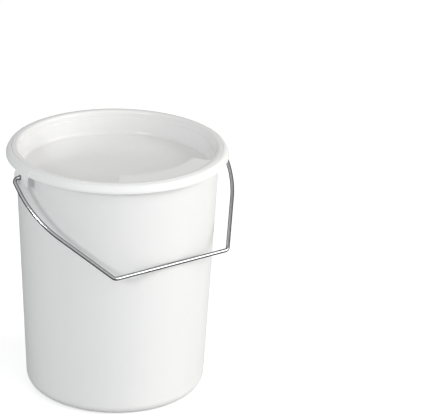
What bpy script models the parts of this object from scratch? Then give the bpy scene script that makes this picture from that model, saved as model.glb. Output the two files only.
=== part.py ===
"""Ten-litre plastic fermenting bucket with a recessed lid and a steel wire bail.

The origin is under the middle of the tub, on the surface that it stands on. X is the bail's hinge
axis, -Y is the front, where the grip hangs and the lid has its finger ledge, and Z is up.
Lengths are in metres: a value in millimetres is written as a number times MM.
"""
import math

import bmesh
import bpy
from mathutils import Vector

MM = 0.001
GAP = 0.3 * MM                      # kept between two pieces that touch

# Tub
CROWN = 300 * MM                    # height of the rim's crown over the floor
WALL_TOP_RADIUS = 119.3 * MM        # outside of the wall, carried up to the crown
WALL_FOOT_RADIUS = 106.1 * MM       # outside of the wall, carried down to the floor
WALL = 2 * MM
FOOT_ROUND = 14 * MM                # outer rounding between wall and base
FOOT_RING_INNER = 84 * MM
FOOT_RING_HEIGHT = 1.5 * MM
BASE_THICKNESS = 2.5 * MM
RIM_RADIUS = 130 * MM               # outer edge of the rolled rim
RIM_DEPTH = 10.4 * MM               # crown to the lower edge of the rim
RIM_THICKNESS = 2.3 * MM
SEAT_RADIUS = 123.2 * MM            # the step in the rim that the lid's lip lies in
SEAT_DEPTH = 2.3 * MM

# Ears, one at each end of the hinge axis
EAR_FACE = 134 * MM                 # radius of the outer face, which follows the rim round
EAR_THICKNESS = 3 * MM
EAR_WIDTH = 26 * MM
EAR_FOLD = 0.3 * MM                 # lower edge of the rim to the fold where the ear's slope ends
EAR_ROOT_DEPTH = 2.6 * MM           # crown to where the ear's slope leaves the rim
EAR_ROOT_INSET = 1.6 * MM           # rim's outside to where the slope leaves it
EAR_DEPTH = 20.5 * MM               # crown to the lower edge of the ear
EAR_CORNER = 5 * MM
HINGE_DEPTH = 13 * MM               # crown to the hinge axis
EAR_HOLE_RADIUS = 3.1 * MM

# Lid
PANEL_DEPTH = 28.6 * MM             # crown to the lid's sunken panel
LID_WALL = 1.6 * MM
RECESS_RADIUS = 114.2 * MM          # inside of the recess, under its bead
RECESS_DRAFT = 0.8 * MM             # how much narrower the recess is at the panel
BEAD_DEPTH = 8.7 * MM               # crown to the bead under the lip
LEDGE_INNER = 94 * MM
LEDGE_ROOT = 115.6 * MM             # where the ledge leaves the lip
LEDGE_HALF_ANGLE = math.radians(33)
LEDGE_TOP = 0.7 * MM                # crown to the top of the ledge
LEDGE_THICKNESS = 2 * MM
LEDGE_ROOT_ROUND = 4 * MM

# Bail
WIRE_RADIUS = 2.3 * MM
WIRE_END = 125 * MM                 # half the distance between the wire's ends, inside their ears
ARM_OUTSIDE = 140.6 * MM            # half the distance between the arms beside the ears
SIDE_PLAY = -2 * MM                 # how far the wire has slid along its hinge axis, to the left
ARM_STRAIGHT = 55 * MM              # along the arm to where its bend would have its corner
GRIP_REACH = 151 * MM               # hinge axis to the grip's centre line
GRIP_HALF = 78.5 * MM               # half the grip, to the corner of its centre line
HOOK_ROUND = 6 * MM
ARM_ROUND = 130 * MM
GRIP_ROUND = 6.3 * MM

TURNS = 72                          # flats round a turned piece


def wall_radius(z):
    """Outer radius of the tub's wall at height z."""
    return WALL_FOOT_RADIUS + (WALL_TOP_RADIUS - WALL_FOOT_RADIUS) * z / CROWN


def rounded(corners):
    """Flat outline through (x, y, radius, steps) corners, each one rounded by an arc of that radius."""
    points = []
    for index, (x, y, radius, steps) in enumerate(corners):
        corner = Vector((x, y))
        if radius == 0:
            points.append(corner)
            continue
        before = (Vector(corners[index - 1][:2]) - corner).normalized()
        after = (Vector(corners[(index + 1) % len(corners)][:2]) - corner).normalized()
        half = before.angle(after) / 2
        centre = corner + (before + after).normalized() * radius / math.sin(half)
        start = corner + before * radius / math.tan(half) - centre
        end = corner + after * radius / math.tan(half) - centre
        sweep = math.pi - 2 * half
        for step in range(steps + 1):
            share = step / steps
            spoke = start * math.sin((1 - share) * sweep) + end * math.sin(share * sweep)
            points.append(centre + spoke / math.sin(sweep))
    return points


def finish(name, colour, roughness, metallic):
    """A plain Principled finish."""
    material = bpy.data.materials.new(name)
    material.use_nodes = True
    shader = material.node_tree.nodes["Principled BSDF"]
    shader.inputs["Base Color"].default_value = (*colour, 1)
    shader.inputs["Roughness"].default_value = roughness
    shader.inputs["Metallic"].default_value = metallic
    return material


def add_object(name, data, material=None):
    item = bpy.data.objects.new(name, data)
    bpy.context.scene.collection.objects.link(item)
    if material:
        item.data.materials.append(material)
    return item


def mesh_from(name, form):
    """Turns a bmesh into a mesh with its faces out, and frees it."""
    bmesh.ops.recalc_face_normals(form, faces=form.faces)
    mesh = bpy.data.meshes.new(name)
    form.to_mesh(mesh)
    form.free()
    return mesh


def turned(name, corners, material):
    """A solid turned round Z. Its profile starts on the axis above and ends on the axis below."""
    form = bmesh.new()
    points = [form.verts.new((point.x, 0, point.y)) for point in rounded(corners)]
    for upper, lower in zip(points, points[1:]):
        form.edges.new((upper, lower))
    mesh = bpy.data.meshes.new(name)
    form.to_mesh(mesh)
    form.free()
    item = add_object(name, mesh, material)
    screw = item.modifiers.new("turn", "SCREW")
    screw.axis = "Z"
    screw.steps = screw.render_steps = TURNS
    screw.use_merge_vertices = True
    screw.merge_threshold = 0.0001
    screw.use_smooth_shade = True
    return item


def loft(name, loops):
    """A closed solid through flat loops that all have the same number of points."""
    form = bmesh.new()
    rings = [[form.verts.new(point) for point in loop] for loop in loops]
    form.faces.new(rings[0])
    form.faces.new(rings[-1])
    count = len(rings[0])
    for near, far in zip(rings, rings[1:]):
        for index in range(count):
            following = (index + 1) % count
            form.faces.new((near[index], near[following], far[following], far[index]))
    return mesh_from(name, form)


def combine(item, tool, operation):
    """Cuts or joins a tool to an item, and hides the tool."""
    boolean = item.modifiers.new(tool.name, "BOOLEAN")
    boolean.operation = operation
    boolean.object = tool
    tool.hide_render = True
    tool.display_type = "WIRE"


def build_tub(material):
    """Base, wall and rolled rim in one turned moulding, with an ear at each side."""
    base = FOOT_RING_HEIGHT + BASE_THICKNESS
    seat = CROWN - SEAT_DEPTH
    under = CROWN - RIM_DEPTH
    rim_root = seat - RIM_THICKNESS
    tub = turned("tub", [
        (0, base, 0, 0),
        (wall_radius(base) - WALL, base, FOOT_ROUND - WALL, 5),
        (wall_radius(seat) - WALL, seat, 0.6 * MM, 1),
        (SEAT_RADIUS, seat, 0, 0),
        (SEAT_RADIUS, CROWN - 0.4 * MM, 0.4 * MM, 1),
        (RIM_RADIUS - 2.9 * MM, CROWN - 1.4 * MM, 4.5 * MM, 4),
        (RIM_RADIUS, CROWN - 0.72 * RIM_DEPTH, 4 * MM, 1),
        (RIM_RADIUS, under, 0.9 * MM, 3),
        (RIM_RADIUS - RIM_THICKNESS, under, 0.9 * MM, 2),
        (RIM_RADIUS - 2.1 * RIM_THICKNESS, rim_root + 0.6 * MM, 2.5 * MM, 3),
        (wall_radius(rim_root), rim_root, 1.5 * MM, 2),
        (WALL_FOOT_RADIUS, 0, FOOT_ROUND, 7),
        (FOOT_RING_INNER, 0, 0, 0),
        (FOOT_RING_INNER - FOOT_RING_HEIGHT, FOOT_RING_HEIGHT, 0, 0),
        (0, FOOT_RING_HEIGHT, 0, 0),
    ], material)
    for side, name in ((-1, "left"), (1, "right")):
        combine(tub, ear(name, side), "UNION")
    for side, name in ((-1, "left"), (1, "right")):
        combine(tub, ear_hole(name, side), "DIFFERENCE")
    return tub


def ear(name, side):
    """A plate that hangs down outside the rim. It slopes out of the rim and follows it round."""
    inner = EAR_FACE - EAR_THICKNESS
    bottom = CROWN - EAR_DEPTH
    fold = CROWN - RIM_DEPTH - EAR_FOLD
    root = CROWN - EAR_ROOT_DEPTH
    shoulder = RIM_RADIUS - EAR_ROOT_INSET
    section = rounded([
        (inner, fold, 0, 0),
        (inner, bottom, 0.7 * MM, 2),
        (EAR_FACE, bottom, 0.7 * MM, 2),
        (EAR_FACE, fold, 5 * MM, 4),
        (shoulder, root, 0, 0),
        (shoulder - EAR_THICKNESS, root, 0, 0),
    ])
    half = EAR_WIDTH / 2
    spread = math.asin(half / EAR_FACE) + math.radians(1)
    turns = [-spread + spread * step / 3 for step in range(7)]
    loops = [[Vector((side * point.x * math.cos(turn), point.x * math.sin(turn), point.y))
              for point in section] for turn in turns]
    body = add_object(f"ear_{name}", loft(f"ear_{name}", loops))
    outline = rounded([
        (-half, CROWN, 0, 0),
        (-half, bottom, EAR_CORNER, 5),
        (half, bottom, EAR_CORNER, 5),
        (half, CROWN, 0, 0),
    ])
    reach = (side * (RIM_RADIUS - 10 * MM), side * (EAR_FACE + 10 * MM))
    loops = [[Vector((x, point.x, point.y - 0.05 * MM)) for point in outline] for x in reach]
    trim = add_object(f"ear_outline_{name}", loft(f"ear_outline_{name}", loops))
    combine(body, trim, "INTERSECT")
    return body


def ear_hole(name, side):
    """The bore in an ear that the wire turns in."""
    form = bmesh.new()
    bmesh.ops.create_cone(form, cap_ends=True, segments=24, radius1=EAR_HOLE_RADIUS,
                          radius2=EAR_HOLE_RADIUS, depth=3 * EAR_THICKNESS)
    bore = add_object(f"ear_hole_{name}", mesh_from(f"ear_hole_{name}", form))
    bore.rotation_euler.y = math.pi / 2
    bore.location = (side * (EAR_FACE - EAR_THICKNESS / 2), 0, CROWN - HINGE_DEPTH)
    return bore


def build_lid(material):
    """Lip, plug wall and sunken panel in one turned moulding, with the finger ledge at its front."""
    panel = CROWN - PANEL_DEPTH
    bead = CROWN - BEAD_DEPTH
    foot = RECESS_RADIUS - RECESS_DRAFT
    lip_under = CROWN - SEAT_DEPTH + GAP
    lid = turned("lid", [
        (0, panel, 0, 0),
        (foot, panel, 4 * MM, 4),
        (RECESS_RADIUS, bead, 0.5 * MM, 1),
        (RECESS_RADIUS + 0.7 * MM, bead + 0.7 * MM, 0.5 * MM, 1),
        (RECESS_RADIUS + 1.4 * MM, CROWN, 3.5 * MM, 5),
        (SEAT_RADIUS - GAP, CROWN, 1.3 * MM, 3),
        (SEAT_RADIUS - GAP, lip_under, 0, 0),
        (RECESS_RADIUS + 2.3 * MM, lip_under, 0.3 * MM, 1),
        (RECESS_RADIUS + LID_WALL, bead - 1 * MM, 0, 0),
        (foot + LID_WALL, panel - LID_WALL, 5 * MM, 4),
        (0, panel - LID_WALL, 0, 0),
    ], material)
    combine(lid, ledge(), "UNION")
    return lid


def ledge():
    """The flat shelf in front that a finger lifts the lid by."""
    spread = LEDGE_HALF_ANGLE + math.radians(6)

    def polar(radius, angle):
        return radius * math.sin(angle), -radius * math.cos(angle)

    def outline(outer):
        corners = [(*polar(outer, angle), 0, 0) for angle in (-spread + spread * k / 8 for k in range(17))]
        corners.append((*polar(LEDGE_ROOT, spread), 0, 0))
        corners.append((*polar(LEDGE_ROOT, LEDGE_HALF_ANGLE), LEDGE_ROOT_ROUND, 4))
        corners.append((*polar(LEDGE_INNER, LEDGE_HALF_ANGLE), 1.5 * MM, 2))
        inner = LEDGE_HALF_ANGLE * 0.94
        corners += [(*polar(LEDGE_INNER, inner - inner * k / 8), 0, 0) for k in range(17)]
        corners.append((*polar(LEDGE_INNER, -LEDGE_HALF_ANGLE), 1.5 * MM, 2))
        corners.append((*polar(LEDGE_ROOT, -LEDGE_HALF_ANGLE), LEDGE_ROOT_ROUND, 4))
        corners.append((*polar(LEDGE_ROOT, -spread), 0, 0))
        return rounded(corners)

    top = CROWN - LEDGE_TOP
    upper = [Vector((point.x, point.y, top)) for point in outline(LEDGE_ROOT + 2.6 * MM)]
    lower = [Vector((point.x, point.y, top - LEDGE_THICKNESS)) for point in outline(LEDGE_ROOT + 0.4 * MM)]
    return add_object("ledge", loft("ledge", (lower, upper)))


def build_bail(material):
    """One bent wire. It hangs in the ears with its grip resting on the front of the wall."""
    half = [
        (WIRE_END, 0, 0, 0),
        (ARM_OUTSIDE, 0, HOOK_ROUND, 8),
        (ARM_OUTSIDE, -ARM_STRAIGHT, ARM_ROUND, 10),
        (GRIP_HALF, -GRIP_REACH, GRIP_ROUND, 6),
    ]
    corners = half + [(-x, z, radius, steps) for x, z, radius, steps in reversed(half)]
    points = rounded(corners)
    curve = bpy.data.curves.new("bail", "CURVE")
    curve.dimensions = "3D"
    curve.bevel_depth = WIRE_RADIUS
    curve.bevel_resolution = 4
    curve.use_fill_caps = True
    spline = curve.splines.new("POLY")
    spline.points.add(len(points) - 1)
    for knot, point in zip(spline.points, points):
        knot.co = (point.x, 0, point.y, 1)
    bail = add_object("bail", curve, material)
    bail.location = (SIDE_PLAY, 0, CROWN - HINGE_DEPTH)
    bail.rotation_euler.x = -rest_tilt()
    return bail


def rest_tilt():
    """Angle from straight down at which the grip touches the sloping wall, found from the triangle."""
    slope = (WALL_TOP_RADIUS - WALL_FOOT_RADIUS) / CROWN
    reach = wall_radius(CROWN - HINGE_DEPTH) + (WIRE_RADIUS + GAP) * math.hypot(1, slope)
    return math.asin(reach / (GRIP_REACH * math.hypot(1, slope))) - math.atan(slope)


def main():
    for item in list(bpy.data.objects):
        bpy.data.objects.remove(item)
    white = finish("white_polypropylene", (0.86, 0.87, 0.87), 0.32, 0)
    lid_white = finish("white_polypropylene_lid", (0.86, 0.87, 0.87), 0.25, 0)
    steel = finish("galvanised_wire", (0.62, 0.62, 0.63), 0.25, 1)
    build_tub(white)
    build_lid(lid_white)
    build_bail(steel)


main()
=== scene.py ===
import math

import bpy
from mathutils import Matrix, Vector


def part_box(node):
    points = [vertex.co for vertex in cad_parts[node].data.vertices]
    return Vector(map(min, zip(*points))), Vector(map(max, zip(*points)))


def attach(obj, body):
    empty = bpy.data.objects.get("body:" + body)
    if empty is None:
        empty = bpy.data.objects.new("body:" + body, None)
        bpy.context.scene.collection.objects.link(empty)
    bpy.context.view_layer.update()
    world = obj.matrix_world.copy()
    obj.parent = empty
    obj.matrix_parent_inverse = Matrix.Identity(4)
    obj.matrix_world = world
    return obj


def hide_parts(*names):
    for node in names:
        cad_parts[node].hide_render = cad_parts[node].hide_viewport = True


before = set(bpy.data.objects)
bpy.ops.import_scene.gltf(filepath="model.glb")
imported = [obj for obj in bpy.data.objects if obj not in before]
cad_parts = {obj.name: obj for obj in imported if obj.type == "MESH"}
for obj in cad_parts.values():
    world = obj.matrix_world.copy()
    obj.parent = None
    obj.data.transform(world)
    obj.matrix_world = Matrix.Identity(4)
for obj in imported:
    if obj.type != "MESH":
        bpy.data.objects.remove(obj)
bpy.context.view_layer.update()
MM = 0.001


# Tub: one injection moulding of white polypropylene, with a rim that is rolled outwards over its
# wall. The plastic is shot in at the middle of the base, and leaves a small gate mark there.
tub_low, tub_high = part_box("tub")
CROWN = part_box("lid")[1].z                 # top of the lid's lip, level with the rim
RIM_RADIUS = tub_high.y
RIM_DEPTH = 10.4 * MM
RIM_THICKNESS = 2.3 * MM
SEAT_RADIUS = 123.2 * MM                   # step in the rim that the lid's lip lies in
SEAT_DEPTH = 2.3 * MM
WALL = 2 * MM
WALL_TOP_RADIUS = 119.3 * MM
WALL_FOOT_RADIUS = 106.1 * MM
FOOT_ROUND = 14 * MM
FOOT_RING_INNER = 84 * MM
FOOT_RING_HEIGHT = 1.5 * MM
BASE_THICKNESS = 2.5 * MM
FLATS = 256                                # round a turned piece
HUB = 10 * MM                              # radius of the disc that a turned piece starts from
SHARP_ANGLE = math.radians(24)             # edges that fold by more than this are shaded sharp


def rounded(corners):
    """Outline through (x, y, rounding, steps) corners, each one rounded by an arc."""
    points = []
    for index, (x, y, rounding, steps) in enumerate(corners):
        corner = Vector((x, y))
        if rounding == 0:
            points.append(corner)
            continue
        before = (Vector(corners[index - 1][:2]) - corner).normalized()
        after = (Vector(corners[index + 1][:2]) - corner).normalized()
        half = before.angle(after) / 2
        centre = corner + (before + after).normalized() * rounding / math.sin(half)
        start = corner + before * rounding / math.tan(half) - centre
        end = corner + after * rounding / math.tan(half) - centre
        sweep = math.pi - 2 * half
        for step in range(steps + 1):
            share = step / steps
            spoke = start * math.sin((1 - share) * sweep) + end * math.sin(share * sweep)
            points.append(centre + spoke / math.sin(sweep))
    return points


def start_piece(name):
    """Names the primitive just added, puts its place into its mesh and opens it for editing."""
    piece = bpy.context.object
    piece.name = piece.data.name = name
    bpy.ops.object.transform_apply(location=True, rotation=True, scale=True)
    bpy.ops.object.mode_set(mode="EDIT")
    return piece


def shade(piece):
    """Shades the round stretches of a piece smooth and keeps its edges sharp."""
    bpy.ops.object.select_all(action="DESELECT")
    bpy.context.view_layer.objects.active = piece
    piece.select_set(True)
    bpy.ops.object.shade_smooth_by_angle(angle=SHARP_ANGLE)


def end_piece(piece):
    """Closes edit mode with the faces turned outwards."""
    bpy.ops.mesh.select_all(action="SELECT")
    bpy.ops.mesh.remove_doubles(threshold=0.01 * MM)
    bpy.ops.mesh.normals_make_consistent(inside=False)
    bpy.ops.object.mode_set(mode="OBJECT")
    shade(piece)


def turn(name, corners):
    """A closed turned solid, drawn out ring by ring from a disc at its first corner."""
    points = rounded(corners)
    bpy.ops.object.select_all(action="DESELECT")
    bpy.ops.mesh.primitive_circle_add(vertices=FLATS, radius=points[0].x, fill_type="NGON",
                                      location=(0, 0, points[0].y))
    piece = start_piece(name)
    bpy.ops.mesh.select_mode(type="EDGE")
    for last, point in zip(points, points[1:]):
        bpy.ops.mesh.extrude_edges_move(TRANSFORM_OT_translate={"value": (0, 0, point.y - last.y)})
        grow = point.x / last.x
        bpy.ops.transform.resize(value=(grow, grow, 1), center_override=(0, 0, point.y))
    bpy.ops.mesh.edge_face_add()
    end_piece(piece)
    return piece


def apply_modifier(piece, kind, **settings):
    """Adds a modifier with its settings and applies it."""
    bpy.ops.object.select_all(action="DESELECT")
    bpy.context.view_layer.objects.active = piece
    modifier = piece.modifiers.new(kind.lower(), kind)
    for name, value in settings.items():
        setattr(modifier, name, value)
    bpy.ops.object.modifier_apply(modifier=modifier.name)


def combine(piece, tool, operation):
    """Joins a tool to a piece or cuts it out, and removes the tool."""
    apply_modifier(piece, "BOOLEAN", operation=operation, object=tool)
    bpy.data.objects.remove(tool)
    shade(piece)


def wall_radius(height):
    """Outside radius of the tub's tapered wall."""
    return WALL_FOOT_RADIUS + (WALL_TOP_RADIUS - WALL_FOOT_RADIUS) * height / CROWN


under_rim = CROWN - RIM_DEPTH
seat = CROWN - SEAT_DEPTH
rim_root = seat - RIM_THICKNESS
base = FOOT_RING_HEIGHT + BASE_THICKNESS
tub = turn("tub_moulding", [
    (HUB, FOOT_RING_HEIGHT, 0, 0),
    (FOOT_RING_INNER - FOOT_RING_HEIGHT, FOOT_RING_HEIGHT, 0, 0),
    (FOOT_RING_INNER, 0, 0.6 * MM, 3),
    (WALL_FOOT_RADIUS, 0, FOOT_ROUND, 14),
    (wall_radius(rim_root), rim_root, 1.5 * MM, 4),
    (RIM_RADIUS - 2.1 * RIM_THICKNESS, rim_root + 0.6 * MM, 2.5 * MM, 6),
    (RIM_RADIUS - RIM_THICKNESS, under_rim, 0.9 * MM, 4),
    (RIM_RADIUS, under_rim, 0.9 * MM, 6),
    (RIM_RADIUS, CROWN - 0.72 * RIM_DEPTH, 4 * MM, 4),
    (RIM_RADIUS - 2.9 * MM, CROWN - 1.4 * MM, 4.5 * MM, 10),
    (SEAT_RADIUS, CROWN - 0.3 * MM, 0.3 * MM, 4),
    (SEAT_RADIUS, seat, 0.2 * MM, 4),
    (wall_radius(seat) - WALL, seat, 0.6 * MM, 4),
    (wall_radius(base) - WALL, base, FOOT_ROUND - WALL, 12),
    (HUB, base, 0, 0),
])
GATE_RADIUS = 1.6 * MM
GATE_HEIGHT = 0.7 * MM                     # stays inside the hollow of the foot ring
bpy.ops.object.select_all(action="DESELECT")
bpy.ops.mesh.primitive_circle_add(vertices=32, radius=GATE_RADIUS, fill_type="NGON",
                                  location=(0, 0, FOOT_RING_HEIGHT + GATE_HEIGHT))
gate = start_piece("gate_mark")
bpy.ops.mesh.extrude_region_move(TRANSFORM_OT_translate={"value": (0, 0, -1.8 * GATE_HEIGHT)})
bpy.ops.transform.resize(value=(0.8, 0.8, 1))
bpy.ops.mesh.inset(thickness=0.5 * MM, depth=-0.15 * MM)
end_piece(gate)
combine(tub, gate, "UNION")


# Ears: part of the tub's moulding. Each one slopes out of the rim into a plate that follows the rim
# round, open underneath and at its ends, with a hole for the wire.
EAR_FACE = tub_high.x
EAR_THICKNESS = 3 * MM
EAR_WIDTH = 26 * MM
EAR_FOLD = 0.3 * MM                        # rim's lower edge to where the ear's slope ends
EAR_ROOT_DEPTH = 2.6 * MM                  # crown to where the ear's slope leaves the rim
EAR_ROOT_INSET = 1.6 * MM                  # rim's outside to where the slope leaves it
EAR_HALF_ANGLE = 6.5                       # degrees, a little past the ear's ends
EAR_DEPTH = 20.5 * MM
EAR_CORNER = 5 * MM
EAR_FOLD_ROUND = 3 * MM
EAR_EDGE_ROUND = 1.2 * MM
EAR_HOLE_RADIUS = 3.1 * MM
HINGE_DEPTH = 13 * MM
HINGE = CROWN - HINGE_DEPTH


def pick(piece, kind, test):
    """In edit mode, selects the faces or edges of a piece whose points all pass a test."""
    bpy.ops.mesh.select_all(action="DESELECT")
    bpy.ops.mesh.select_mode(type=kind)
    bpy.ops.object.mode_set(mode="OBJECT")
    mesh = piece.data
    for item in mesh.polygons if kind == "FACE" else mesh.edges:
        item.select = all(test(mesh.vertices[index].co) for index in item.vertices)
    bpy.ops.object.mode_set(mode="EDIT")


def curved_bar(name, inner, outer, bottom, top, middle, half_angle, steps):
    """A bar that follows the tub round: its section, spun about the tub's axis past the middle."""
    start = middle + half_angle
    radius = (inner + outer) / 2
    bpy.ops.object.select_all(action="DESELECT")
    bpy.ops.mesh.primitive_plane_add(size=1, rotation=(0, math.pi / 2, start), location=(
        radius * math.sin(start), -radius * math.cos(start), (bottom + top) / 2))
    bpy.context.object.scale = (top - bottom, outer - inner, 1)
    bar = start_piece(name)
    bpy.ops.mesh.select_all(action="SELECT")
    bpy.ops.mesh.spin(steps=steps, angle=2 * half_angle, center=(0, 0, 0), axis=(0, 0, 1))
    bpy.ops.mesh.select_all(action="SELECT")
    bpy.ops.mesh.remove_doubles(threshold=0.01 * MM)
    return bar


TOUCH = 0.02 * MM                          # how near a point must lie to count as on a plane
CREASE = math.radians(50)                  # edges that fold by more than this are rounded off
half_ear = EAR_WIDTH / 2
ear_bottom = CROWN - EAR_DEPTH
ear_fold = under_rim - EAR_FOLD
ear_root = CROWN - EAR_ROOT_DEPTH
ear_inner = EAR_FACE - EAR_THICKNESS
for side, name in ((-1, "left"), (1, "right")):
    ear = curved_bar(f"ear_{name}", ear_inner, EAR_FACE, ear_bottom, ear_fold, side * math.pi / 2,
                     math.radians(EAR_HALF_ANGLE), 13)
    pick(ear, "FACE", lambda p: p.z > ear_fold - TOUCH)
    bpy.ops.mesh.extrude_region_move(TRANSFORM_OT_translate={"value": (0, 0, ear_root - ear_fold)})
    shrink = (RIM_RADIUS - EAR_ROOT_INSET) / EAR_FACE
    bpy.ops.transform.resize(value=(shrink, shrink, 1), center_override=(0, 0, 0))
    for end in (-1, 1):
        bpy.ops.mesh.select_all(action="SELECT")
        bpy.ops.mesh.bisect(plane_co=(0, end * half_ear, 0), plane_no=(0, end, 0), clear_outer=True,
                            use_fill=True)
    pick(ear, "EDGE", lambda p: abs(abs(p.y) - half_ear) < TOUCH and p.z < ear_bottom + TOUCH)
    bpy.ops.mesh.bevel(offset=EAR_CORNER, segments=8, affect="EDGES")
    pick(ear, "EDGE", lambda p: math.hypot(p.x, p.y) > EAR_FACE - 0.1 * MM
         and abs(p.z - ear_fold) < TOUCH)
    bpy.ops.mesh.bevel(offset=EAR_FOLD_ROUND, segments=8, affect="EDGES")
    end_piece(ear)
    apply_modifier(ear, "BEVEL", width=EAR_EDGE_ROUND, segments=5, limit_method="ANGLE",
                   angle_limit=CREASE)
    combine(tub, ear, "UNION")
    bpy.ops.object.select_all(action="DESELECT")
    bpy.ops.mesh.primitive_circle_add(vertices=48, radius=EAR_HOLE_RADIUS, fill_type="NGON",
                                      location=(side * (ear_inner - 2 * MM), 0, HINGE),
                                      rotation=(0, math.pi / 2, 0))
    bore = start_piece("bore")
    bpy.ops.mesh.extrude_region_move(
        TRANSFORM_OT_translate={"value": (side * (EAR_THICKNESS + 4 * MM), 0, 0)})
    end_piece(bore)
    combine(tub, bore, "DIFFERENCE")


# Lid: a second white moulding. Its lip lies in the rim's step, its plug wall reaches down inside the
# tub to a flat sunken panel, and a shelf across its front gives a finger something to pull.
PANEL_DEPTH = 28.6 * MM
LID_WALL = 1.6 * MM
RECESS_RADIUS = 114.2 * MM
RECESS_DRAFT = 0.8 * MM
BEAD_DEPTH = 8.7 * MM
GAP = 0.3 * MM                             # under the lid's lip
LIP_PLAY = 0.12 * MM                       # round the lid's lip
LEDGE_INNER = 94 * MM
LEDGE_ROOT = 115.6 * MM
LEDGE_HALF_ANGLE = 33                      # degrees, as is the next
LEDGE_BAND_ANGLE = 39
LEDGE_BAND = 2.4 * MM                      # how deep the shelf is let into the lip
LEDGE_DEPTH = 0.7 * MM
LEDGE_THICKNESS = 2 * MM
LEDGE_ROOT_ROUND = 4 * MM
LEDGE_CORNER = 1.5 * MM
LEDGE_EDGE_ROUND = 0.5 * MM

panel = CROWN - PANEL_DEPTH
bead = CROWN - BEAD_DEPTH
recess_foot = RECESS_RADIUS - RECESS_DRAFT
lip_under = seat + GAP
lid = turn("lid_moulding", [
    (HUB, panel - LID_WALL, 0, 0),
    (recess_foot + LID_WALL, panel - LID_WALL, 5 * MM, 8),
    (RECESS_RADIUS + LID_WALL, bead - 1 * MM, 0, 0),
    (RECESS_RADIUS + 2.3 * MM, lip_under, 0.3 * MM, 3),
    (SEAT_RADIUS - LIP_PLAY, lip_under, 0.2 * MM, 4),
    (SEAT_RADIUS - LIP_PLAY, CROWN, 0.6 * MM, 6),
    (RECESS_RADIUS + 1.4 * MM, CROWN, 3.5 * MM, 10),
    (RECESS_RADIUS + 0.7 * MM, bead + 0.7 * MM, 0.5 * MM, 4),
    (RECESS_RADIUS, bead, 0.5 * MM, 4),
    (recess_foot, panel, 4 * MM, 8),
    (HUB, panel, 0, 0),
])

ledge_top = CROWN - LEDGE_DEPTH
ledge = curved_bar("ledge", LEDGE_ROOT, LEDGE_ROOT + LEDGE_BAND, ledge_top - LEDGE_THICKNESS,
                   ledge_top, 0, math.radians(LEDGE_BAND_ANGLE), 2 * LEDGE_BAND_ANGLE)


def turned_from_front(point):
    """Angle in degrees between the front and a point, seen from above."""
    return abs(math.degrees(math.atan2(point.x, -point.y)))


def on_radius(point, radius):
    """Whether a point lies at a distance from the tub's axis."""
    return abs(math.hypot(point.x, point.y) - radius) < 0.1 * MM


pick(ledge, "FACE", lambda p: on_radius(p, LEDGE_ROOT)
     and turned_from_front(p) < LEDGE_HALF_ANGLE + 0.1)
bpy.ops.mesh.extrude_region_move(TRANSFORM_OT_translate={"value": (0, 0, 0)})
shrink = LEDGE_INNER / LEDGE_ROOT
bpy.ops.transform.resize(value=(shrink, shrink, 1), center_override=(0, 0, 0))
for radius, rounding in ((LEDGE_ROOT, LEDGE_ROOT_ROUND), (LEDGE_INNER, LEDGE_CORNER)):
    pick(ledge, "EDGE", lambda p: on_radius(p, radius)
         and abs(turned_from_front(p) - LEDGE_HALF_ANGLE) < 0.1)
    bpy.ops.mesh.bevel(offset=rounding, segments=8, affect="EDGES")
end_piece(ledge)
apply_modifier(ledge, "BEVEL", width=LEDGE_EDGE_ROUND, segments=3, limit_method="ANGLE",
               angle_limit=CREASE)
combine(lid, ledge, "UNION")


# Bail: one length of zinc-plated steel wire, cold bent at six places. Its ends are cut square with
# their burr taken off, and are sprung into the ears from outside.
bail_low, bail_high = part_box("bail")
WIRE_RADIUS = bail_high.z - HINGE
WIRE_END = 125 * MM
ARM_STRAIGHT = 55 * MM
GRIP_REACH = 151 * MM
GRIP_HALF = 78.5 * MM
HOOK_ROUND = 6 * MM
ARM_ROUND = 130 * MM
GRIP_ROUND = 6.3 * MM
WIRE_END_ROUND = 0.5 * MM
side_play = (bail_low.x + bail_high.x) / 2
arm_outside = (bail_high.x - bail_low.x) / 2 - WIRE_RADIUS
hang = math.asin((-bail_low.y - WIRE_RADIUS) / GRIP_REACH)     # between the arms and straight down


def on_bail(across, along):
    """A point across the bail and down along its arms, in the tub's frame."""
    return Vector((side_play + across, -along * math.sin(hang), HINGE - along * math.cos(hang)))


bends = [(-arm_outside, 0, HOOK_ROUND, 16), (-arm_outside, ARM_STRAIGHT, ARM_ROUND, 40),
         (-GRIP_HALF, GRIP_REACH, GRIP_ROUND, 16)]
bends += [(-across, along, rounding, steps) for across, along, rounding, steps in reversed(bends)]
corners = [on_bail(-WIRE_END, 0)] + [on_bail(*bend[:2]) for bend in bends] + [on_bail(WIRE_END, 0)]
bpy.ops.object.select_all(action="DESELECT")
bpy.ops.mesh.primitive_circle_add(vertices=32, radius=WIRE_RADIUS, fill_type="NGON",
                                  location=corners[0], rotation=(0, -math.pi / 2, 0))
bail = start_piece("bail_wire")
bpy.ops.mesh.select_all(action="SELECT")
here = corners[0]
for corner, following, (_, _, rounding, steps) in zip(corners[1:], corners[2:], bends):
    heading = (corner - here).normalized()
    leaving = (following - corner).normalized()
    bend = heading.angle(leaving)
    cut_back = rounding * math.tan(bend / 2)
    bend_start = corner - heading * cut_back
    bpy.ops.mesh.extrude_region_move(TRANSFORM_OT_translate={"value": bend_start - here})
    axis = heading.cross(leaving).normalized()
    bpy.ops.mesh.spin(steps=steps, angle=-bend, axis=axis,
                      center=bend_start + axis.cross(heading) * rounding)
    here = corner + leaving * cut_back
bpy.ops.mesh.extrude_region_move(TRANSFORM_OT_translate={"value": corners[-1] - here})
end_piece(bail)
bpy.ops.object.mode_set(mode="EDIT")
wire_ends = [corners[0].x, corners[-1].x]
pick(bail, "EDGE", lambda p: min(abs(p.x - x) for x in wire_ends) < TOUCH)
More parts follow.
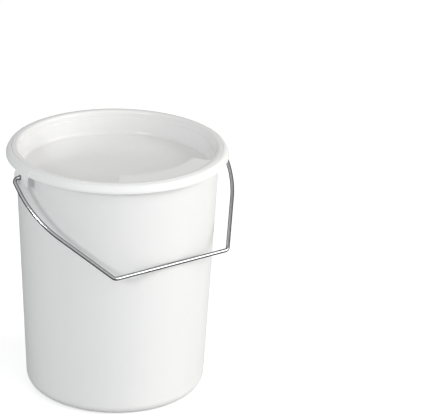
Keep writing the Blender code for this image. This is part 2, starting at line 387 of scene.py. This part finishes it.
bpy.ops.mesh.bevel(offset=WIRE_END_ROUND, segments=3, affect="EDGES")
end_piece(bail)


# Polypropylene, as moulded: the plastic has a satin skin with a very slight waviness from cooling, a
# fine grain, faint clouds where the melt met, and a few hair-thin rub marks from being stacked.
def new_group(name, inputs, outputs):
    """An empty shader node group with its sockets, its input node and its output node."""
    group = bpy.data.node_groups.new(name, "ShaderNodeTree")
    for label, kind, value in inputs:
        socket = group.interface.new_socket(label, in_out="INPUT", socket_type=kind)
        socket.default_value = value
    for label, kind in outputs:
        group.interface.new_socket(label, in_out="OUTPUT", socket_type=kind)
    return group, group.nodes.new("NodeGroupInput"), group.nodes.new("NodeGroupOutput")


def math_node(tree, operation, first, second, clamp=False):
    """A Math node. Each input is a socket or a number."""
    node = tree.nodes.new("ShaderNodeMath")
    node.operation = operation
    node.use_clamp = clamp
    for socket, value in zip(node.inputs, (first, second)):
        if isinstance(value, bpy.types.NodeSocket):
            tree.links.new(value, socket)
        else:
            socket.default_value = value
    return node.outputs["Value"]


def noise(tree, place, scale, detail=3, roughness=0.5):
    """Noise from 0 to 1 at so many waves to the metre."""
    node = tree.nodes.new("ShaderNodeTexNoise")
    node.inputs["Scale"].default_value = scale
    node.inputs["Detail"].default_value = detail
    node.inputs["Roughness"].default_value = roughness
    tree.links.new(place, node.inputs["Vector"])
    return node.outputs["Fac"]


def stretched(tree, place, turn, scale):
    """The place, turned and then stretched, so that noise on it draws out into lines."""
    node = tree.nodes.new("ShaderNodeMapping")
    node.inputs["Rotation"].default_value = turn
    node.inputs["Scale"].default_value = scale
    tree.links.new(place, node.inputs["Vector"])
    return node.outputs["Vector"]


def spread(tree, value, low, high, to_low=0.0, to_high=1.0):
    """Maps a value's range onto another one, and clamps it there."""
    node = tree.nodes.new("ShaderNodeMapRange")
    tree.links.new(value, node.inputs["Value"])
    for label, number in (("From Min", low), ("From Max", high),
                          ("To Min", to_low), ("To Max", to_high)):
        node.inputs[label].default_value = number
    return node.outputs["Result"]


def blend(tree, amount, first, second):
    """A colour mix. The amount and both colours are sockets or values."""
    node = tree.nodes.new("ShaderNodeMix")
    node.data_type = "RGBA"
    for socket, value in ((node.inputs[0], amount), (node.inputs[6], first), (node.inputs[7], second)):
        if isinstance(value, bpy.types.NodeSocket):
            tree.links.new(value, socket)
        else:
            socket.default_value = value
    return node.outputs[2]


moulded, given, result = new_group(
    "moulded_plastic",
    [("Place", "NodeSocketVector", (0, 0, 0)), ("Colour", "NodeSocketColor", (0.8, 0.8, 0.8, 1)),
     ("Cloud Colour", "NodeSocketColor", (0.7, 0.7, 0.7, 1)), ("Sheen", "NodeSocketFloat", 0.3),
     ("Rubbing", "NodeSocketFloat", 0.5)],
    [("Colour", "NodeSocketColor"), ("Roughness", "NodeSocketFloat"), ("Waves", "NodeSocketFloat"),
     ("Grain", "NodeSocketFloat")])
place = given.outputs["Place"]
clouds = spread(moulded, noise(moulded, place, 14, 4, 0.55), 0.35, 0.75)
flow = spread(moulded, noise(moulded, stretched(moulded, place, (0, 0, 0), (60, 60, 5)), 1, 2), 0.4, 0.8)
patches = math_node(moulded, "MULTIPLY", clouds, 0.6)
patches = math_node(moulded, "ADD", patches, math_node(moulded, "MULTIPLY", flow, 0.4))
tinted = blend(moulded, patches, given.outputs["Colour"], given.outputs["Cloud Colour"])
marks = None
for turn, waves in (((0.3, 0.5, 0.9), (900, 900, 14)), ((1.2, -0.4, 2.1), (1100, 1100, 18)),
                    ((-0.6, 1.1, 0.2), (1000, 1000, 16))):
    lines = spread(moulded, noise(moulded, stretched(moulded, place, turn, waves), 1, 1), 0.73, 0.8)
    marks = lines if marks is None else math_node(moulded, "MAXIMUM", marks, lines)
where = spread(moulded, noise(moulded, place, 22, 2), 0.5, 0.68)
marks = math_node(moulded, "MULTIPLY", math_node(moulded, "MULTIPLY", marks, where),
                  given.outputs["Rubbing"])
worn = blend(moulded, math_node(moulded, "MULTIPLY", marks, 0.35), tinted, (0.62, 0.62, 0.62, 1))
sheen = math_node(moulded, "ADD", given.outputs["Sheen"],
                  math_node(moulded, "MULTIPLY", patches, 0.06))
sheen = math_node(moulded, "ADD", sheen, math_node(moulded, "MULTIPLY", marks, 0.25), clamp=True)
moulded.links.new(worn, result.inputs["Colour"])
moulded.links.new(sheen, result.inputs["Roughness"])
waves = noise(moulded, stretched(moulded, place, (0, 0, 0), (18, 18, 9)), 1, 1)
moulded.links.new(waves, result.inputs["Waves"])
grain = noise(moulded, place, 1500, 2)
grain = math_node(moulded, "SUBTRACT", grain, math_node(moulded, "MULTIPLY", marks, 0.8))
moulded.links.new(grain, result.inputs["Grain"])


def plastic(name, colour, cloud, sheen, rubbing, wave_height, grain_height):
    """White polypropylene with its own sheen, waviness and grain."""
    material = bpy.data.materials.new(name)
    material.use_nodes = True
    tree = material.node_tree
    shader = tree.nodes["Principled BSDF"]
    shader.inputs["IOR"].default_value = 1.49
    shader.inputs["Subsurface Weight"].default_value = 0.12
    shader.inputs["Subsurface Radius"].default_value = (1, 0.95, 0.9)
    shader.inputs["Subsurface Scale"].default_value = 3 * MM
    skin = tree.nodes.new("ShaderNodeGroup")
    skin.node_tree = moulded
    position = tree.nodes.new("ShaderNodeTexCoord")
    tree.links.new(position.outputs["Object"], skin.inputs["Place"])
    skin.inputs["Colour"].default_value = (*colour, 1)
    skin.inputs["Cloud Colour"].default_value = (*cloud, 1)
    skin.inputs["Sheen"].default_value = sheen
    skin.inputs["Rubbing"].default_value = rubbing
    tree.links.new(skin.outputs["Colour"], shader.inputs["Base Color"])
    tree.links.new(skin.outputs["Roughness"], shader.inputs["Roughness"])
    normal = None
    for label, height in (("Waves", wave_height), ("Grain", grain_height)):
        bump = tree.nodes.new("ShaderNodeBump")
        bump.inputs["Distance"].default_value = height
        tree.links.new(skin.outputs[label], bump.inputs["Height"])
        if normal:
            tree.links.new(normal, bump.inputs["Normal"])
        normal = bump.outputs["Normal"]
    tree.links.new(normal, shader.inputs["Normal"])
    return material


tub.data.materials.append(plastic("white_tub_plastic", (0.83, 0.835, 0.83), (0.805, 0.815, 0.815),
                                  0.48, 0.6, 0.06 * MM, 0.01 * MM))
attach(tub, "tub")
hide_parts("tub")
lid.data.materials.append(plastic("white_lid_plastic", (0.83, 0.83, 0.82), (0.80, 0.80, 0.795),
                                  0.15, 0.8, 0.05 * MM, 0.006 * MM))
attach(lid, "lid")
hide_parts("lid")


# Zinc: the wire is drawn and then plated, so it is bright, with fine lines along its length, a faint
# mottle in the zinc coat and duller patches where the hand and the ears rub it. Its colour is painted
# dark towards its edges, a painted reflection that stands in for the dark end of a room it mirrors.
zinc = bpy.data.materials.new("zinc_plated_wire")
zinc.use_nodes = True
tree = zinc.node_tree
shader = tree.nodes["Principled BSDF"]
shader.inputs["Metallic"].default_value = 1
position = tree.nodes.new("ShaderNodeTexCoord").outputs["Object"]
mottle = spread(tree, noise(tree, position, 420, 3), 0.35, 0.65)
dulled = spread(tree, noise(tree, position, 38, 3), 0.5, 0.72)
plating_and_painted_reflection = blend(tree, mottle, (0.80, 0.81, 0.83, 1), (0.70, 0.71, 0.73, 1))
plating_and_painted_reflection = blend(tree, math_node(tree, "MULTIPLY", dulled, 0.5), plating_and_painted_reflection, (0.56, 0.565, 0.57, 1))
# Painted reflection: the base colour is painted near black where the wire turns away from the view.
turned_away = tree.nodes.new("ShaderNodeLayerWeight")
turned_away.inputs["Blend"].default_value = 0.5
edges = spread(tree, turned_away.outputs["Facing"], 0.05, 0.42)
plating_and_painted_reflection = blend(tree, edges, plating_and_painted_reflection, (0.11, 0.115, 0.12, 1))
tree.links.new(plating_and_painted_reflection, shader.inputs["Base Color"])
polish = math_node(tree, "ADD", spread(tree, mottle, 0, 1, 0.13, 0.19),
                   math_node(tree, "MULTIPLY", dulled, 0.09))
tree.links.new(polish, shader.inputs["Roughness"])
drawn = noise(tree, stretched(tree, position, (0, 0, 0), (160, 2400, 2400)), 1, 2)
bump = tree.nodes.new("ShaderNodeBump")
bump.inputs["Distance"].default_value = 0.01 * MM
tree.links.new(drawn, bump.inputs["Height"])
tree.links.new(bump.outputs["Normal"], shader.inputs["Normal"])
bail.data.materials.append(zinc)
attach(bail, "bail")
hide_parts("bail")


# Studio: a plain white floor. The camera sees it nearly white, it throws less light than that back
# up at the bucket, and bright metal mirrors it dark.
bpy.ops.object.select_all(action="DESELECT")
bpy.ops.mesh.primitive_plane_add(size=12, location=(0, 0, -0.3 * MM))
floor = bpy.context.object
floor.name = "floor"
paper = bpy.data.materials.new("white_floor")
paper.use_nodes = True
tree = paper.node_tree
shader = tree.nodes["Principled BSDF"]
seen = tree.nodes.new("ShaderNodeLightPath")
grey = blend(tree, seen.outputs["Is Glossy Ray"], (0.66, 0.66, 0.66, 1), (0.12, 0.12, 0.12, 1))
tree.links.new(grey, shader.inputs["Base Color"])
shader.inputs["Roughness"].default_value = 0.8
bright = tree.nodes.new("ShaderNodeBsdfPrincipled")
bright.inputs["Base Color"].default_value = (0.9, 0.9, 0.9, 1)
bright.inputs["Roughness"].default_value = 0.9
bright.inputs["Specular IOR Level"].default_value = 0.1
bright.inputs["Emission Color"].default_value = (1, 1, 1, 1)
bright.inputs["Emission Strength"].default_value = 0.42
choice = tree.nodes.new("ShaderNodeMixShader")
tree.links.new(seen.outputs["Is Camera Ray"], choice.inputs["Fac"])
tree.links.new(shader.outputs["BSDF"], choice.inputs[1])
tree.links.new(bright.outputs["BSDF"], choice.inputs[2])
tree.links.new(choice.outputs["Shader"], tree.nodes["Material Output"].inputs["Surface"])
floor.data.materials.append(paper)


# Studio light: the room is a little brighter towards the front and overhead than behind the bucket.
# A wide soft light stands on the right, and a small one left of the camera draws the wire's shadow.
VIEW_AZIMUTH = -34
FRONT_LIGHT = 0.51
BACK_LIGHT = 0.44
TOP_LIGHT = 0.56
world = bpy.data.worlds.new("studio")
bpy.context.scene.world = world
world.use_nodes = True
tree = world.node_tree
backdrop = tree.nodes["Background"]
direction = tree.nodes.new("ShaderNodeTexCoord").outputs["Generated"]
view = math.radians(VIEW_AZIMUTH)


def towards(vector):
    """How far each direction of the sky faces a given one, from -1 to 1."""
    node = tree.nodes.new("ShaderNodeVectorMath")
    node.operation = "DOT_PRODUCT"
    tree.links.new(direction, node.inputs[0])
    node.inputs[1].default_value = vector
    return node.outputs["Value"]


frontness = spread(tree, towards((math.sin(view), -math.cos(view), 0)), -0.6, 0.6)
height = spread(tree, towards((0, 0, 1)), 0.35, 0.95)
glow = blend(tree, frontness, (BACK_LIGHT,) * 3 + (1,), (FRONT_LIGHT,) * 3 + (1,))
glow = blend(tree, height, glow, (TOP_LIGHT,) * 3 + (1,))
glow_seen = tree.nodes.new("ShaderNodeLightPath")
glow = blend(tree, glow_seen.outputs["Is Camera Ray"], glow, (1, 1, 1, 1))
tree.links.new(glow, backdrop.inputs["Color"])
backdrop.inputs["Strength"].default_value = 1.0


def softbox(name, azimuth, elevation, distance, width, height, power, colour):
    """An area light that looks at the bucket from an azimuth and elevation in degrees."""
    data = bpy.data.lights.new(name, "AREA")
    data.shape = "RECTANGLE"
    data.size = width
    data.size_y = height
    data.energy = power
    data.color = colour
    light = bpy.data.objects.new(name, data)
    bpy.context.scene.collection.objects.link(light)
    around, rise = math.radians(azimuth), math.radians(elevation)
    away = Vector((math.sin(around) * math.cos(rise), -math.cos(around) * math.cos(rise),
                   math.sin(rise)))
    light.location = Vector((0, 0, CROWN / 2)) + away * distance
    light.rotation_euler = away.to_track_quat("Z", "Y").to_euler()


softbox("wide_light", VIEW_AZIMUTH + 72, 22, 2.4, 1.8, 1.8, 43, (1, 0.985, 0.965))
softbox("small_light", VIEW_AZIMUTH - 30, 26, 2.6, 0.5, 0.5, 20, (0.97, 0.985, 1))


# Camera: a long lens from the front left and above. It is aimed beside the bucket.
VIEW_ELEVATION = 20.9
VIEW_DISTANCE = 2.914
VIEW_ROLL = 1.6
AIM_RIGHT = 0.1148
AIM_DOWN = 0.0724
camera_data = bpy.data.cameras.new("camera")
camera_data.sensor_width = 36
camera_data.lens = 208.8
camera_data.clip_end = 50
camera = bpy.data.objects.new("camera", camera_data)
bpy.context.scene.collection.objects.link(camera)
rise = math.radians(VIEW_ELEVATION)
back = Vector((math.sin(view) * math.cos(rise), -math.cos(view) * math.cos(rise), math.sin(rise)))
right = Vector((math.cos(view), math.sin(view), 0))
up = back.cross(right)
crown_centre = Vector((0, 0, CROWN))
camera.location = crown_centre + back * VIEW_DISTANCE
aim = crown_centre + right * AIM_RIGHT - up * AIM_DOWN
camera.rotation_mode = "QUATERNION"
camera.rotation_quaternion = ((camera.location - aim).to_track_quat("Z", "Y")
                              @ Matrix.Rotation(math.radians(VIEW_ROLL), 4, "Z").to_quaternion())
bpy.context.scene.camera = camera
bpy.context.scene.view_settings.view_transform = "Standard"
